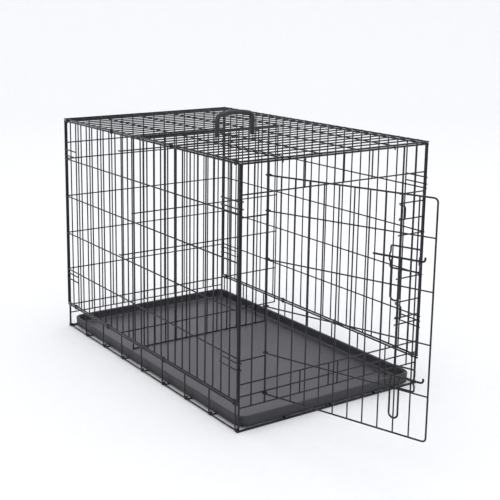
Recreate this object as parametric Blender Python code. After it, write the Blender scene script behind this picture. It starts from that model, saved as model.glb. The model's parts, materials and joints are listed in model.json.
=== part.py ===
"""Folding wire dog crate: a welded base, four wire walls, a lift-up top with a carry handle,
a side-hung door with two slide bolts, a slide-out tray and a sliding divider.

Frame: +X across the width, +Y from the door end to the back, +Z up, the floor at z = 0, metres.
The door is built standing open at DOOR_OPEN_DEG and both bolts drawn back.
Wires are square bars of the wire's thickness; wires that are hinge pins have eight sides.
"""
import math

import bmesh
import bpy
from mathutils import Matrix, Vector

# finishes: colour, roughness, metallic
POWDER_COAT = ((0.012, 0.012, 0.014), 0.42, 0.0)
LATCH_COAT = ((0.010, 0.010, 0.011), 0.36, 0.0)
RING_STEEL = ((0.020, 0.020, 0.022), 0.34, 0.6)
TRAY_PLASTIC = ((0.085, 0.083, 0.095), 0.55, 0.0)
GRIP_PLASTIC = ((0.018, 0.018, 0.020), 0.48, 0.0)
# overall sizes, between the centre lines of the outer wires
CRATE_WIDTH = 0.585
CRATE_LENGTH = 0.910
TOP_HEIGHT = 0.652
# wire thicknesses
FRAME_WIRE = 0.0044
GRID_WIRE = 0.0028
BASE_WIRE = 0.0032
DOOR_FRAME_WIRE = 0.0040
KEEPER_WIRE = 0.0036
BOLT_ROD = 0.0044
PULL_WIRE = 0.0042
STRIKE_WIRE = 0.0034
RING_WIRE = 0.0018
# how far two welded wires sink into each other, the gap between pieces, how far wire ends stand past
WELD_BITE = 0.0004
GAP = 0.0003
TAIL = 0.003
TUCK = 0.001
# hinge wires: height of the wall hinge, centre distances to the wires ringed to it at the top and base
WALL_HINGE_HEIGHT = 0.078
RING_PITCH = 0.0054
BASE_RING_PITCH = 0.0066
# walls and top
WALL_BAYS = 26
WALL_ROWS = 5
LOW_ROW_SHORTFALL = 0.007
TOP_STRIPS = 5
HOOK_BAYS = 2
HOOK_SPACING = 0.0175
HOOK_DROP = 0.010
# end walls
MID_POST_INSET = 0.040
DOORWAY_WIDTH = 0.424
DOORWAY_TOP_DROP = 0.077
DOORWAY_SILL = 0.119
LOW_RAIL = 0.0885
BOTTOM_RAIL = 0.060
SHORT_POSTS = (-0.1055, -0.0145, 0.0145, 0.1055)
UPPER_STUB_DROP = 0.130
LOWER_STUB = 0.178
BACK_BAYS = 15
BACK_UPPER_RAIL_DROP = 0.071
BACK_LOW_RAILS = (0.069, 0.043)
# base
LIP_COUNT = 9
LIP_END_INSET = 0.007
FLOOR_RUNNERS = (-0.146, 0.0, 0.146)
# door
DOOR_OPEN_DEG = 71.0
DOOR_LATCH_GAP = 0.0085
DOOR_TOP_DROP = 0.037
DOOR_BOTTOM = 0.0842
DOOR_BARS = 10
DOOR_FIRST_BAR = 0.039
DOOR_LAST_BAR_INSET = 0.0395
DOOR_CORNER_RADIUS = 0.009
# bolts, measured back from the latch edge of the door
UPPER_BOLT_BELOW_ROW = 0.0525
LOWER_BOLT_ABOVE_ROW = 0.0304
ROD_TIP_INSET = 0.0185
ROD_LENGTH = 0.120
ROD_TURN_UP = 0.0135
KEEPER_NEAR_INSET = 0.0295
KEEPER_WIDTH = 0.0675
KEEPER_HEIGHT = 0.049
PULL_WIDTH = 0.0205
PULL_DROP = 0.095
PULL_START = 0.0046
LOWER_BOLT_ADVANCE = 0.009
STRIKE_HALF_HEIGHT = 0.0175
STRIKE_REACH = 0.0180
# tray
PAN_SIDE_CLEARANCE = 0.0041
PAN_FRONT_INSET = 0.0025
PAN_BACK_INSET = 0.0045
PAN_HEIGHT = 0.0265
PAN_FLOOR = 0.0022
PAN_RIM = 0.009
PAN_TAPER = 0.003
PAN_CORNER = 0.030
PAN_CORNER_STEPS = 5
# divider
DIVIDER_Y = 0.145
DIVIDER_RIGHT_GAP = 0.017
DIVIDER_LEFT_GAP = 0.056
DIVIDER_HOOK_GAP = 0.0175
DIVIDER_BAYS = 14
DIVIDER_TOP_DROP = 0.020
DIVIDER_HOOK_ROWS = (0.066, 0.296, 0.594)
DIVIDER_PLAIN_ROWS = (0.178, 0.412)
# carry handle, standing on one cross wire of the top
HANDLE_X = -0.1105
HANDLE_SPAN = 0.110
HANDLE_BAY = 8
HANDLE_RISE = 0.078
HANDLE_ARCH = 0.007
HANDLE_THICK = 0.0124
HANDLE_CORNER = 0.015
CLIP_WIRE = 0.0020
CLIP_OFFSET = 0.0035
CLIP_LOOP = 0.0100
# ring positions in wall bays from the middle
LEFT_RING_BAYS = (-12.65, -3.36, 5.5, 11.5)
RIGHT_RING_BAYS = (-12.5, -3.5, 3.5, 12.5)
TOP_RING_BAYS = (-12.5, -4.5, 4.5, 12.5)

HALF_W = CRATE_WIDTH / 2
HALF_L = CRATE_LENGTH / 2
FRAME_R = FRAME_WIRE / 2
GRID_R = GRID_WIRE / 2
PIN_R = FRAME_R / math.cos(math.pi / 8)
LAYER = (GRID_WIRE - WELD_BITE) / 2
BAY = CRATE_LENGTH / WALL_BAYS
WALL_TOP = TOP_HEIGHT - RING_PITCH
ROW = (WALL_TOP - WALL_HINGE_HEIGHT + LOW_ROW_SHORTFALL) / WALL_ROWS
ROWS = tuple(WALL_TOP - ROW * (WALL_ROWS - k) for k in range(1, WALL_ROWS))
CORNER_X = HALF_W - LAYER - GRID_R - GAP - FRAME_R - 0.0001
JAMB_X = DOORWAY_WIDTH / 2
POST_N = FRAME_R - GRID_R
RAIL_N = POST_N - GRID_WIRE + WELD_BITE
BASE_R = BASE_WIRE / 2
RUNNER_Z = BASE_R + BASE_WIRE - WELD_BITE
FLOOR_TOP = RUNNER_Z + BASE_R
PAN_BOTTOM = FLOOR_TOP + GAP
STRIP = CRATE_WIDTH / TOP_STRIPS
DOOR_EDGE = DOORWAY_WIDTH - DOOR_LATCH_GAP
DOOR_TOP = TOP_HEIGHT - DOOR_TOP_DROP
DOOR_GRID_N = PIN_R + GAP + GRID_R
DOOR_FRAME_N = PIN_R + GAP + DOOR_FRAME_WIRE / 2
DOOR_BAR_N = DOOR_GRID_N + GRID_WIRE - WELD_BITE
DOOR_FACE_N = DOOR_BAR_N + GRID_R
KEEPER_N = DOOR_FACE_N + GAP + KEEPER_WIRE / 2
ROD_N = DOOR_FACE_N + GAP + BOLT_ROD / 2
BRIDGE_N = ROD_N + BOLT_ROD / 2 + GAP + KEEPER_WIRE / 2
PULL_N = KEEPER_N + KEEPER_WIRE / 2 + GAP + PULL_WIRE / 2
UPPER_BOLT_Z = ROWS[3] - UPPER_BOLT_BELOW_ROW
LOWER_BOLT_Z = ROWS[0] + LOWER_BOLT_ABOVE_ROW
KEEPER_FAR = DOOR_EDGE - KEEPER_NEAR_INSET
KEEPER_HINGE_SIDE = KEEPER_FAR - KEEPER_WIDTH
STRIKE_X = JAMB_X - PIN_R - GAP - STRIKE_WIRE / 2
STRIKE_STUB = STRIKE_HALF_HEIGHT + STRIKE_WIRE / 2 + GAP + GRID_R
HANDLE_Y = -HALF_L + HANDLE_BAY * BAY
HANDLE_AXIS_Z = TOP_HEIGHT + LAYER


def clear_scene():
    for obj in list(bpy.data.objects):
        bpy.data.objects.remove(obj, do_unlink=True)


def make_material(name, finish):
    colour, roughness, metallic = finish
    material = bpy.data.materials.new(name)
    material.use_nodes = True
    shader = material.node_tree.nodes["Principled BSDF"]
    shader.inputs["Base Color"].default_value = (*colour, 1.0)
    shader.inputs["Roughness"].default_value = roughness
    shader.inputs["Metallic"].default_value = metallic
    return material


def section(centre, along, reference, half, sides):
    """Corners of a regular section square to the wire, with one flat facing the reference."""
    across = along.cross(Vector(reference)).normalized()
    facing = across.cross(along)
    radius = half / math.cos(math.pi / sides)
    corners = []
    for k in range(sides):
        angle = 2 * math.pi * (k + 0.5) / sides
        corners.append(centre + across * (radius * math.cos(angle)) + facing * (radius * math.sin(angle)))
    return corners


def add_wire(bm, points, half, reference, sides=4, closed=False):
    """Sweep a section along straight runs with mitred bends."""
    points = [Vector(p) for p in points]
    count = len(points)
    spans = count if closed else count - 1
    along = [(points[(i + 1) % count] - points[i]).normalized() for i in range(spans)]
    corners = section(points[0], along[0], reference, half, sides)
    rings = []
    for i in range(count):
        before = along[i - 1] if closed or i else along[0]
        after = along[i] if i < spans else along[-1]
        mitre = (before + after).normalized()
        run = before if i else after
        corners = [c + run * ((points[i] - c).dot(mitre) / run.dot(mitre)) for c in corners]
        rings.append([bm.verts.new(c) for c in corners])
    for i in range(spans):
        low, high = rings[i], rings[(i + 1) % count]
        for k in range(sides):
            m = (k + 1) % sides
            bm.faces.new((low[k], low[m], high[m], high[k]))
    if not closed:
        bm.faces.new(rings[0])
        bm.faces.new(rings[-1])


def scene_object(name, bm):
    bmesh.ops.recalc_face_normals(bm, faces=bm.faces)
    mesh = bpy.data.meshes.new(name)
    bm.to_mesh(mesh)
    bm.free()
    obj = bpy.data.objects.new(name, mesh)
    bpy.context.scene.collection.objects.link(obj)
    return obj


def weld(obj, group):
    """Join another set of wires to a piece."""
    tool = scene_object(obj.name + "_wires", group)
    tool.hide_render = True
    tool.display_type = "WIRE"
    joint = obj.modifiers.new("weld", "BOOLEAN")
    joint.operation = "UNION"
    joint.solver = "EXACT"
    joint.object = tool
    bpy.context.view_layer.update()
    graph = bpy.context.evaluated_depsgraph_get()
    obj.data = bpy.data.meshes.new_from_object(obj.evaluated_get(graph))
    obj.modifiers.clear()
    bpy.data.objects.remove(tool, do_unlink=True)


def make_piece(name, groups, finish, origin=(0.0, 0.0, 0.0), turn=None):
    """Weld groups of wires into one piece whose origin is the given point, turned about it."""
    obj = scene_object(name, groups[0])
    for group in groups[1:]:
        weld(obj, group)
    obj.data.transform(Matrix.Translation(-Vector(origin)))
    if turn is not None:
        obj.data.transform(turn)
    obj.location = origin
    obj.data.materials.clear()
    obj.data.materials.append(make_material(name + "_finish", finish))
    return obj


def wire_group(wires):
    bm = bmesh.new()
    for wire in wires:
        add_wire(bm, *wire)
    return bm


def side_point(sign):
    """Points of a side wall from length, height and outward offset."""
    return lambda u, v, n: (sign * (HALF_W + n), u, v)


def end_point(sign):
    """Points of an end wall from width, height and outward offset."""
    return lambda u, v, n: (u, sign * (HALF_L + n), v)


def corner_hook(at, end, height):
    """Two-bay wire whose tip turns across the front of the end wall's corner post."""
    back = end * (HALF_L - HOOK_BAYS * BAY - TAIL)
    tip = end * (HALF_L + FRAME_R + GAP + GRID_R + 0.0002)
    inward = CORNER_X - FRAME_R - 0.0003 - HALF_W
    points = [at(back, height, LAYER), at(tip, height, LAYER), at(tip, height, inward)]
    return (points, GRID_R, (0, 0, 1))


def build_side_wall(name, sign):
    at = side_point(sign)
    out = (sign, 0, 0)
    reach = HALF_L + TAIL
    rails = [([at(-reach, WALL_HINGE_HEIGHT, 0), at(reach, WALL_HINGE_HEIGHT, 0)], FRAME_R, out, 8)]
    rails.append(([at(-reach, WALL_TOP, 0), at(reach, WALL_TOP, 0)], FRAME_R, out))
    for height in ROWS:
        rails.append(([at(-reach, height, LAYER), at(reach, height, LAYER)], GRID_R, out))
    for end in (-1, 1):
        for middle in (ROWS[3] + 0.0200, ROWS[0] - 0.0205):
            for step in (-0.5, 0.5):
                rails.append(corner_hook(at, end, middle + step * HOOK_SPACING))
    posts = []
    for k in range(WALL_BAYS + 1):
        y = -HALF_L + k * BAY
        edge = k in (0, WALL_BAYS)
        half, n = (FRAME_R, 0) if edge else (GRID_R, -LAYER)
        foot, head = WALL_HINGE_HEIGHT - TUCK, WALL_TOP + TUCK
        posts.append(([at(y, foot, n), at(y, head, n)], half, out))
    axis = (sign * HALF_W, 0.0, WALL_HINGE_HEIGHT)
    return make_piece(name, [wire_group(rails), wire_group(posts)], POWDER_COAT, axis)


def build_top():
    """Lift-up top, hinged along the left side wall's top wire."""
    cross_low, cross_high = -HALF_W - TUCK, HALF_W + TAIL
    crosses = []
    for k in range(WALL_BAYS + 1):
        y = -HALF_L + k * BAY
        edge = k in (0, WALL_BAYS)
        half, z = (FRAME_R, TOP_HEIGHT) if edge else (GRID_R, TOP_HEIGHT + LAYER)
        crosses.append(([(cross_low, y, z), (cross_high, y, z)], half, (0, 0, 1)))
    reach = HALF_L + TAIL
    strips = [([(-HALF_W, -reach, TOP_HEIGHT), (-HALF_W, reach, TOP_HEIGHT)], FRAME_R, (0, 0, 1), 8)]
    strips.append(([(HALF_W, -reach, TOP_HEIGHT), (HALF_W, reach, TOP_HEIGHT)], FRAME_R, (0, 0, 1)))
    low = TOP_HEIGHT - LAYER
    for k in range(1, TOP_STRIPS):
        x = -HALF_W + k * STRIP
        points = [(x, -reach, low), (x, reach, low)]
        if k in (1, TOP_STRIPS - 1):
            tip = HALF_L + FRAME_R + GAP + GRID_R + 0.0002
            down = low - HOOK_DROP
            points = [(x, -tip, down), (x, -tip, low), (x, tip, low), (x, tip, down)]
        strips.append((points, GRID_R, (1, 0, 0)))
    axis = (-HALF_W, 0.0, TOP_HEIGHT)
    return make_piece("top_panel", [wire_group(strips), wire_group(crosses)], POWDER_COAT, axis)


def build_front_wall():
    """Door end: corner posts, hinge and latch jambs, a doorway between them."""
    at = end_point(-1)
    out = (0, -1, 0)
    doorway_top = TOP_HEIGHT - DOORWAY_TOP_DROP
    posts = []
    for sign in (-1, 1):
        posts.append(([at(sign * CORNER_X, FLOOR_TOP + GAP, 0), at(sign * CORNER_X, WALL_TOP + TUCK, 0)],
                      FRAME_R, out))
        posts.append(([at(sign * JAMB_X, BOTTOM_RAIL - TUCK, 0), at(sign * JAMB_X, WALL_TOP + TUCK, 0)],
                      FRAME_R, out, 8))
        mid = sign * (HALF_W - MID_POST_INSET)
        posts.append(([at(mid, BOTTOM_RAIL - TUCK, POST_N), at(mid, WALL_TOP + TUCK, POST_N)], GRID_R, out))
    for x in SHORT_POSTS:
        posts.append(([at(x, doorway_top - TUCK, POST_N), at(x, WALL_TOP + TUCK, POST_N)], GRID_R, out))
        posts.append(([at(x, BOTTOM_RAIL - TUCK, POST_N), at(x, DOORWAY_SILL + TUCK, POST_N)], GRID_R, out))
    end = CORNER_X + TUCK
    rails = [([at(-end, WALL_TOP, 0), at(end, WALL_TOP, 0)], FRAME_R, out)]
    for height in (doorway_top, DOORWAY_SILL, LOW_RAIL, BOTTOM_RAIL):
        rails.append(([at(-end, height, RAIL_N), at(end, height, RAIL_N)], GRID_R, out))
    for height in (TOP_HEIGHT - UPPER_STUB_DROP, LOWER_STUB):
        rails.append(([at(-end, height, RAIL_N), at(-JAMB_X + TAIL, height, RAIL_N)], GRID_R, out))
    stubs = [ROWS[2], ROWS[1], TOP_HEIGHT - UPPER_STUB_DROP + 0.003, LOWER_STUB - 0.0005]
    for middle in (UPPER_BOLT_Z, LOWER_BOLT_Z):
        stubs += [middle - STRIKE_STUB, middle + STRIKE_STUB]
    for height in stubs:
        rails.append(([at(STRIKE_X - TAIL, height, RAIL_N), at(end, height, RAIL_N)], GRID_R, out))
    return make_piece("front_panel", [wire_group(rails), wire_group(posts)], POWDER_COAT)


def build_back_wall():
    at = end_point(1)
    out = (0, 1, 0)
    posts = []
    for sign in (-1, 1):
        posts.append(([at(sign * CORNER_X, FLOOR_TOP + GAP, 0), at(sign * CORNER_X, WALL_TOP + TUCK, 0)],
                      FRAME_R, out))
    foot = BACK_LOW_RAILS[1] - TUCK
    for k in range(1, BACK_BAYS):
        x = -CORNER_X + k * 2 * CORNER_X / BACK_BAYS
        posts.append(([at(x, foot, POST_N), at(x, WALL_TOP + TUCK, POST_N)], GRID_R, out))
    end = CORNER_X + TUCK
    rails = [([at(-end, WALL_TOP, 0), at(end, WALL_TOP, 0)], FRAME_R, out)]
    for height in (TOP_HEIGHT - BACK_UPPER_RAIL_DROP, *ROWS, *BACK_LOW_RAILS):
        rails.append(([at(-end, height, RAIL_N), at(end, height, RAIL_N)], GRID_R, out))
    return make_piece("back_panel", [wire_group(rails), wire_group(posts)], POWDER_COAT)


def build_base():
    """Floor wires turned up at both sides into low lips that carry the side walls."""
    lip_top = WALL_HINGE_HEIGHT - BASE_RING_PITCH
    hoops = []
    for k in range(LIP_COUNT):
        y = -HALF_L + LIP_END_INSET + k * (CRATE_LENGTH - 2 * LIP_END_INSET) / (LIP_COUNT - 1)
        points = [(-HALF_W, y, lip_top + TUCK), (-HALF_W, y, BASE_R), (HALF_W, y, BASE_R),
                  (HALF_W, y, lip_top + TUCK)]
        hoops.append((points, BASE_R, (0, 1, 0)))
    for sign in (-1, 1):
        y = sign * (HALF_L + 0.0005)
        hoops.append(([(-HALF_W, y, BASE_R), (HALF_W, y, BASE_R)], BASE_R, (0, 0, 1)))
    reach = HALF_L + TAIL
    runners = []
    for sign in (-1, 1):
        x = sign * (HALF_W - BASE_WIRE + WELD_BITE)
        runners.append(([(x, -reach, RUNNER_Z), (x, reach, RUNNER_Z)], BASE_R, (0, 0, 1)))
        runners.append(([(sign * HALF_W, -reach, lip_top), (sign * HALF_W, reach, lip_top)],
                        FRAME_R, (0, 0, 1)))
    for x in FLOOR_RUNNERS:
        runners.append(([(x, -reach, RUNNER_Z), (x, reach, RUNNER_Z)], BASE_R, (0, 0, 1)))
    return make_piece("base_grid", [wire_group(hoops), wire_group(runners)], POWDER_COAT)


def build_ring(name, x, y, pin_z, pitch):
    """Link of wire closed round a hinge wire and the wire below it."""
    wide = PIN_R + GAP + RING_WIRE / 2
    far = pitch + FRAME_R + GAP + RING_WIRE / 2
    corners = ((-wide, far), (wide, far), (wide, -wide), (-wide, -wide))
    bm = bmesh.new()
    points = [(x + across, y, pin_z - depth) for across, depth in corners]
    add_wire(bm, points, RING_WIRE / 2, (0, 1, 0), 4, True)
    return make_piece(name, [bm], RING_STEEL, (x, y, pin_z))


def build_rings():
    for side, sign, bays in (("left", -1, LEFT_RING_BAYS), ("right", 1, RIGHT_RING_BAYS)):
        for i, bay in enumerate(bays):
            name = f"{side}_base_ring_{i + 1}"
            build_ring(name, sign * HALF_W, bay * BAY, WALL_HINGE_HEIGHT, BASE_RING_PITCH)
    for i, bay in enumerate(TOP_RING_BAYS):
        build_ring(f"top_ring_{i + 1}", -HALF_W, bay * BAY, TOP_HEIGHT, RING_PITCH)


def hinge_hook(n, half, height, towards_door):
    """Path of a wire end bent round the hinge jamb, in door coordinates."""
    loop = PIN_R + GAP + half
    tip = n - 2 * half - 0.0012
    path = [(loop, tip), (loop, -loop), (-loop, -loop), (-loop, n)]
    points = [(s, -m, height) for s, m in path]
    return points if towards_door else points[::-1]


def corner_arc(centre, radius, start_deg, steps=4):
    points = []
    for k in range(steps + 1):
        angle = math.radians(start_deg - 90.0 * k / steps)
        points.append((centre[0] + radius * math.cos(angle), centre[1] + radius * math.sin(angle)))
    return points


def door_place():
    """Pivot of the door on the hinge jamb and its turn when open."""
    pivot = (-JAMB_X, -HALF_L, 0.0)
    return pivot, Matrix.Rotation(math.radians(-DOOR_OPEN_DEG), 4, "Z")


def place_on_door(name, groups, origin, finish):
    """Weld a piece drawn in door coordinates and set it on the open door."""
    pivot, turn = door_place()
    centre = Vector(pivot) + turn @ Vector(origin)
    obj = make_piece(name, groups, finish, origin, turn)
    obj.location = centre
    return obj


def build_door():
    """Door drawn closed in its own frame: s along +X from the pivot, outward along -Y."""
    half = DOOR_FRAME_WIRE / 2
    n = DOOR_FRAME_N
    r = DOOR_CORNER_RADIUS
    frame = hinge_hook(n, half, DOOR_TOP, True)
    frame += [(s, -n, z) for s, z in corner_arc((DOOR_EDGE - r, DOOR_TOP - r), r, 90.0)]
    frame += [(s, -n, z) for s, z in corner_arc((DOOR_EDGE - r, DOOR_BOTTOM + r), r, 0.0)]
    frame += hinge_hook(n, half, DOOR_BOTTOM, False)
    outline = wire_group([(frame, half, (0, 0, 1))])
    rails = []
    for height in ROWS:
        points = hinge_hook(DOOR_GRID_N, GRID_R, height, True)
        points.append((DOOR_EDGE + TUCK, -DOOR_GRID_N, height))
        rails.append((points, GRID_R, (0, 0, 1)))
    bars = []
    pitch = (DOOR_EDGE - DOOR_LAST_BAR_INSET - DOOR_FIRST_BAR) / (DOOR_BARS - 1)
    for k in range(DOOR_BARS):
        s = DOOR_FIRST_BAR + k * pitch
        points = [(s, -DOOR_BAR_N, DOOR_BOTTOM - TUCK), (s, -DOOR_BAR_N, DOOR_TOP + TUCK)]
        bars.append((points, GRID_R, (0, -1, 0)))
    groups = [outline, wire_group(rails), wire_group(bars)]
    return place_on_door("front_door", groups, (0.0, 0.0, 0.0), POWDER_COAT)


def build_bolt(name, height, advance):
    """Slide rod with a turned-up tip and a long U-shaped pull hanging from it."""
    tip = DOOR_EDGE - ROD_TIP_INSET + advance
    rod = [(tip - ROD_LENGTH, -ROD_N, height), (tip, -ROD_N, height), (tip, -ROD_N, height + ROD_TURN_UP)]
    s0 = KEEPER_HINGE_SIDE + PULL_START + advance
    s1 = s0 + PULL_WIDTH
    r = PULL_WIDTH / 2
    knee = height - 0.011
    low = height - PULL_DROP + r
    bend = [(s0 + r - r * math.cos(a), low - r * math.sin(a)) for a in
            (math.pi * k / 6 for k in range(7))]
    pull = [(s0, -ROD_N, height), (s0, -PULL_N, knee)]
    pull += [(s, -PULL_N, z) for s, z in bend]
    pull += [(s1, -PULL_N, knee), (s1, -ROD_N, height)]
    groups = [wire_group([(rod, BOLT_ROD / 2, (0, -1, 0))]), wire_group([(pull, PULL_WIRE / 2, (1, 0, 0))])]
    return place_on_door(name, groups, (tip - ROD_LENGTH, -ROD_N, height), LATCH_COAT)


def build_keeper(name, height):
    """Rectangular wire loop on the door whose sides bridge over the slide rod."""
    half = KEEPER_HEIGHT / 2
    path = [(KEEPER_HINGE_SIDE, KEEPER_N, -half), (KEEPER_FAR, KEEPER_N, -half)]
    steps = ((-0.0115, KEEPER_N), (-0.0050, BRIDGE_N), (0.0050, BRIDGE_N), (0.0115, KEEPER_N))
    path += [(KEEPER_FAR, n, z) for z, n in steps]
    path += [(KEEPER_FAR, KEEPER_N, half), (KEEPER_HINGE_SIDE, KEEPER_N, half)]
    path += [(KEEPER_HINGE_SIDE, n, z) for z, n in steps[::-1]]
    bm = bmesh.new()
    add_wire(bm, [(s, -n, height + z) for s, n, z in path], KEEPER_WIRE / 2, (0, -1, 0), 4, True)
    return place_on_door(name, [bm], (KEEPER_HINGE_SIDE, -KEEPER_N, height), LATCH_COAT)


def build_strike(name, height):
    """Wire staple standing out beside the latch jamb, open for the bolt's turned-up tip."""
    back = FRAME_R
    r = 0.006
    out = STRIKE_REACH
    top = STRIKE_HALF_HEIGHT
    path = [(-back, top), (out - r, top), (out - 0.3 * r, top - 0.3 * r), (out, top - r)]
    path += [(n, -z) for n, z in path[::-1]]
    points = [(STRIKE_X, -HALF_L - n, height + z) for n, z in path]
    return make_piece(name, [wire_group([(points, STRIKE_WIRE / 2, (1, 0, 0))])], LATCH_COAT)


def rounded_ring(half_x, low_y, high_y, radius, z):
    points = []
    corners = ((half_x, high_y, 0), (-half_x, high_y, 90), (-half_x, low_y, 180), (half_x, low_y, 270))
    for x, y, start in corners:
        cx = x - math.copysign(radius, x)
        cy = y - math.copysign(radius, y - (low_y + high_y) / 2)
        for k in range(PAN_CORNER_STEPS + 1):
            a = math.radians(start + 90.0 * k / PAN_CORNER_STEPS)
            points.append((cx + radius * math.cos(a), cy + radius * math.sin(a), z))
    return points


def build_pan():
    """Plastic tray with a thick rolled rim."""
    half_x = CORNER_X - FRAME_R - PAN_SIDE_CLEARANCE
    low_y = -HALF_L + PAN_FRONT_INSET
    high_y = HALF_L - PAN_BACK_INSET
    top = PAN_BOTTOM + PAN_HEIGHT
    steps = ((PAN_TAPER + 0.004, PAN_BOTTOM), (PAN_TAPER, PAN_BOTTOM + 0.004), (0.0005, top - 0.009),
             (0.0, top - 0.003), (0.003, top), (PAN_RIM - 0.003, top), (PAN_RIM, top - 0.003),
             (PAN_RIM + 0.0015, top - 0.010), (PAN_RIM + 0.004, PAN_BOTTOM + PAN_FLOOR))
    bm = bmesh.new()
    rings = []
    for inset, z in steps:
        ring = rounded_ring(half_x - inset, low_y + inset, high_y - inset, PAN_CORNER - inset, z)
        rings.append([bm.verts.new(p) for p in ring])
    count = len(rings[0])
    for low, high in zip(rings, rings[1:]):
        for k in range(count):
            m = (k + 1) % count
            bm.faces.new((low[k], low[m], high[m], high[k]))
    bm.faces.new(rings[0])
    bm.faces.new(rings[-1])
    return make_piece("slide_out_pan", [bm], TRAY_PLASTIC, (0.0, low_y, PAN_BOTTOM))


def build_divider():
    """Wire partition standing in the tray, three of its rails reaching for the left wall."""
    right = HALF_W - DIVIDER_RIGHT_GAP
    left = -HALF_W + DIVIDER_LEFT_GAP
    foot = PAN_BOTTOM + PAN_FLOOR + GAP + GRID_R
    top = WALL_TOP - DIVIDER_TOP_DROP
    rails = []
    pitch = (right - left) / DIVIDER_BAYS
    for height, end in ((foot, right - pitch), *((row, right) for row in DIVIDER_PLAIN_ROWS)):
        rails.append(([(left - TUCK, DIVIDER_Y + LAYER, height), (end + TUCK, DIVIDER_Y + LAYER, height)],
                      GRID_R, (0, 1, 0)))
    rails.append(([(left - TUCK, DIVIDER_Y, top), (right + TUCK, DIVIDER_Y, top)],
                  DOOR_FRAME_WIRE / 2, (0, 1, 0)))
    reach = -HALF_W + DIVIDER_HOOK_GAP
    for height in DIVIDER_HOOK_ROWS:
        y = DIVIDER_Y + LAYER
        points = [(reach + GRID_R, y + 0.009, height), (reach + GRID_R, y, height), (right + TUCK, y, height)]
        rails.append((points, GRID_R, (0, 0, 1)))
    posts = []
    for k in range(DIVIDER_BAYS + 1):
        x = left + k * pitch
        low = (foot if k < DIVIDER_BAYS else DIVIDER_HOOK_ROWS[0]) - 0.0006
        points = [(x, DIVIDER_Y - LAYER, low), (x, DIVIDER_Y - LAYER, top + TUCK)]
        posts.append((points, GRID_R, (0, 1, 0)))
    origin = (0.0, DIVIDER_Y, foot)
    return make_piece("divider_panel", [wire_group(rails), wire_group(posts)], POWDER_COAT, origin)


def handle_path():
    half = HANDLE_SPAN / 2
    foot = GRID_R + CLIP_LOOP + GAP
    shoulder = HANDLE_RISE - HANDLE_ARCH - HANDLE_THICK / 2
    r = HANDLE_CORNER
    path = [(-half, foot), (-half, shoulder - r)]
    for k in range(1, 4):
        a = math.radians(180 - 80.0 * k / 3)
        path.append((-half + r + r * math.cos(a), shoulder - r + r * math.sin(a)))
    path.append((-half * 0.35, shoulder + HANDLE_ARCH * 0.85))
    path.append((0.0, shoulder + HANDLE_ARCH))
    path += [(-x, z) for x, z in path[-2::-1]]
    return path


def build_handle():
    """Arched grip standing on one cross wire of the top."""
    points = [(HANDLE_X + x, HANDLE_Y, HANDLE_AXIS_Z + z) for x, z in handle_path()]
    group = wire_group([(points, HANDLE_THICK / 2, (0, 1, 0), 8)])
    return make_piece("carry_handle", [group], GRIP_PLASTIC, (HANDLE_X, HANDLE_Y, HANDLE_AXIS_Z))


def build_clips():
    """Wire loops joining the two feet of the handle to the cross wire."""
    hole = GRID_R * math.sqrt(2) + GAP
    r = CLIP_WIRE / 2
    low = -hole - r
    high = GRID_R + CLIP_LOOP - r
    for name, sign in (("handle_clip_left", -1), ("handle_clip_right", 1)):
        x = HANDLE_X + sign * (HANDLE_SPAN / 2 + CLIP_OFFSET)
        points = [(x, HANDLE_Y + y, HANDLE_AXIS_Z + z) for y, z in
                  ((-hole - r, low), (hole + r, low), (hole + r, high), (-hole - r, high))]
        bm = bmesh.new()
        add_wire(bm, points, r, (1, 0, 0), 4, True)
        make_piece(name, [bm], RING_STEEL, (x, HANDLE_Y, HANDLE_AXIS_Z))


def smooth_round_pieces(names):
    for name in names:
        for face in bpy.data.objects[name].data.polygons:
            face.use_smooth = True


def build():
    clear_scene()
    build_base()
    build_front_wall()
    build_back_wall()
    build_side_wall("left_panel", -1)
    build_side_wall("right_panel", 1)
    build_top()
    build_door()
    build_divider()
    build_pan()
    build_handle()
    build_clips()
    build_rings()
    bolts = (("upper", UPPER_BOLT_Z, 0.0), ("lower", LOWER_BOLT_Z, LOWER_BOLT_ADVANCE))
    for which, height, advance in bolts:
        build_bolt(which + "_bolt", height, advance)
        build_keeper(which + "_keeper", height)
        build_strike(which + "_strike", height)
    smooth_round_pieces(("carry_handle", "slide_out_pan"))


build()
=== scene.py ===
"""Looks of a folding wire dog crate: drawn and welded powder-coated wire, coiled hinge rings,
wire bolts, a moulded tray and a plastic carry handle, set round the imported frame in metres.

Wires are paths with a radius and a bend radius at each point. One Geometry Nodes tree draws them
round, rounds their bends and sets the weld beads where wires cross.
"""
import json
import math

import bmesh
import bpy
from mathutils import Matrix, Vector


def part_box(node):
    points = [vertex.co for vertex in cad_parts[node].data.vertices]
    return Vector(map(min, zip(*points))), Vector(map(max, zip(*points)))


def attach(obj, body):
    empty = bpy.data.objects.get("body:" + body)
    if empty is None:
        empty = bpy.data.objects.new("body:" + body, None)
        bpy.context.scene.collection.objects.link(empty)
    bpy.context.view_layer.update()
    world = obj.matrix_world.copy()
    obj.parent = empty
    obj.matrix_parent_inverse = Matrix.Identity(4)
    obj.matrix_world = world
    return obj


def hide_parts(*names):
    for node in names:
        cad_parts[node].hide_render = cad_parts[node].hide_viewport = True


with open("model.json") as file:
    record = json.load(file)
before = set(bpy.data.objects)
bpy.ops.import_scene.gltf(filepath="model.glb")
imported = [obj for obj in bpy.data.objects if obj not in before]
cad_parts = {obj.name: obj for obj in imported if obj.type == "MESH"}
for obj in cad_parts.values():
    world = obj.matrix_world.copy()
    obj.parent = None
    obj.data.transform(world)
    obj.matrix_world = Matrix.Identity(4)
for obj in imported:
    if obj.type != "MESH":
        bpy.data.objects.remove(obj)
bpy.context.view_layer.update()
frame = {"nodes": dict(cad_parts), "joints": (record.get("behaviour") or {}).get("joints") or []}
joints = {joint["name"]: joint for joint in frame["joints"]}

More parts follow.
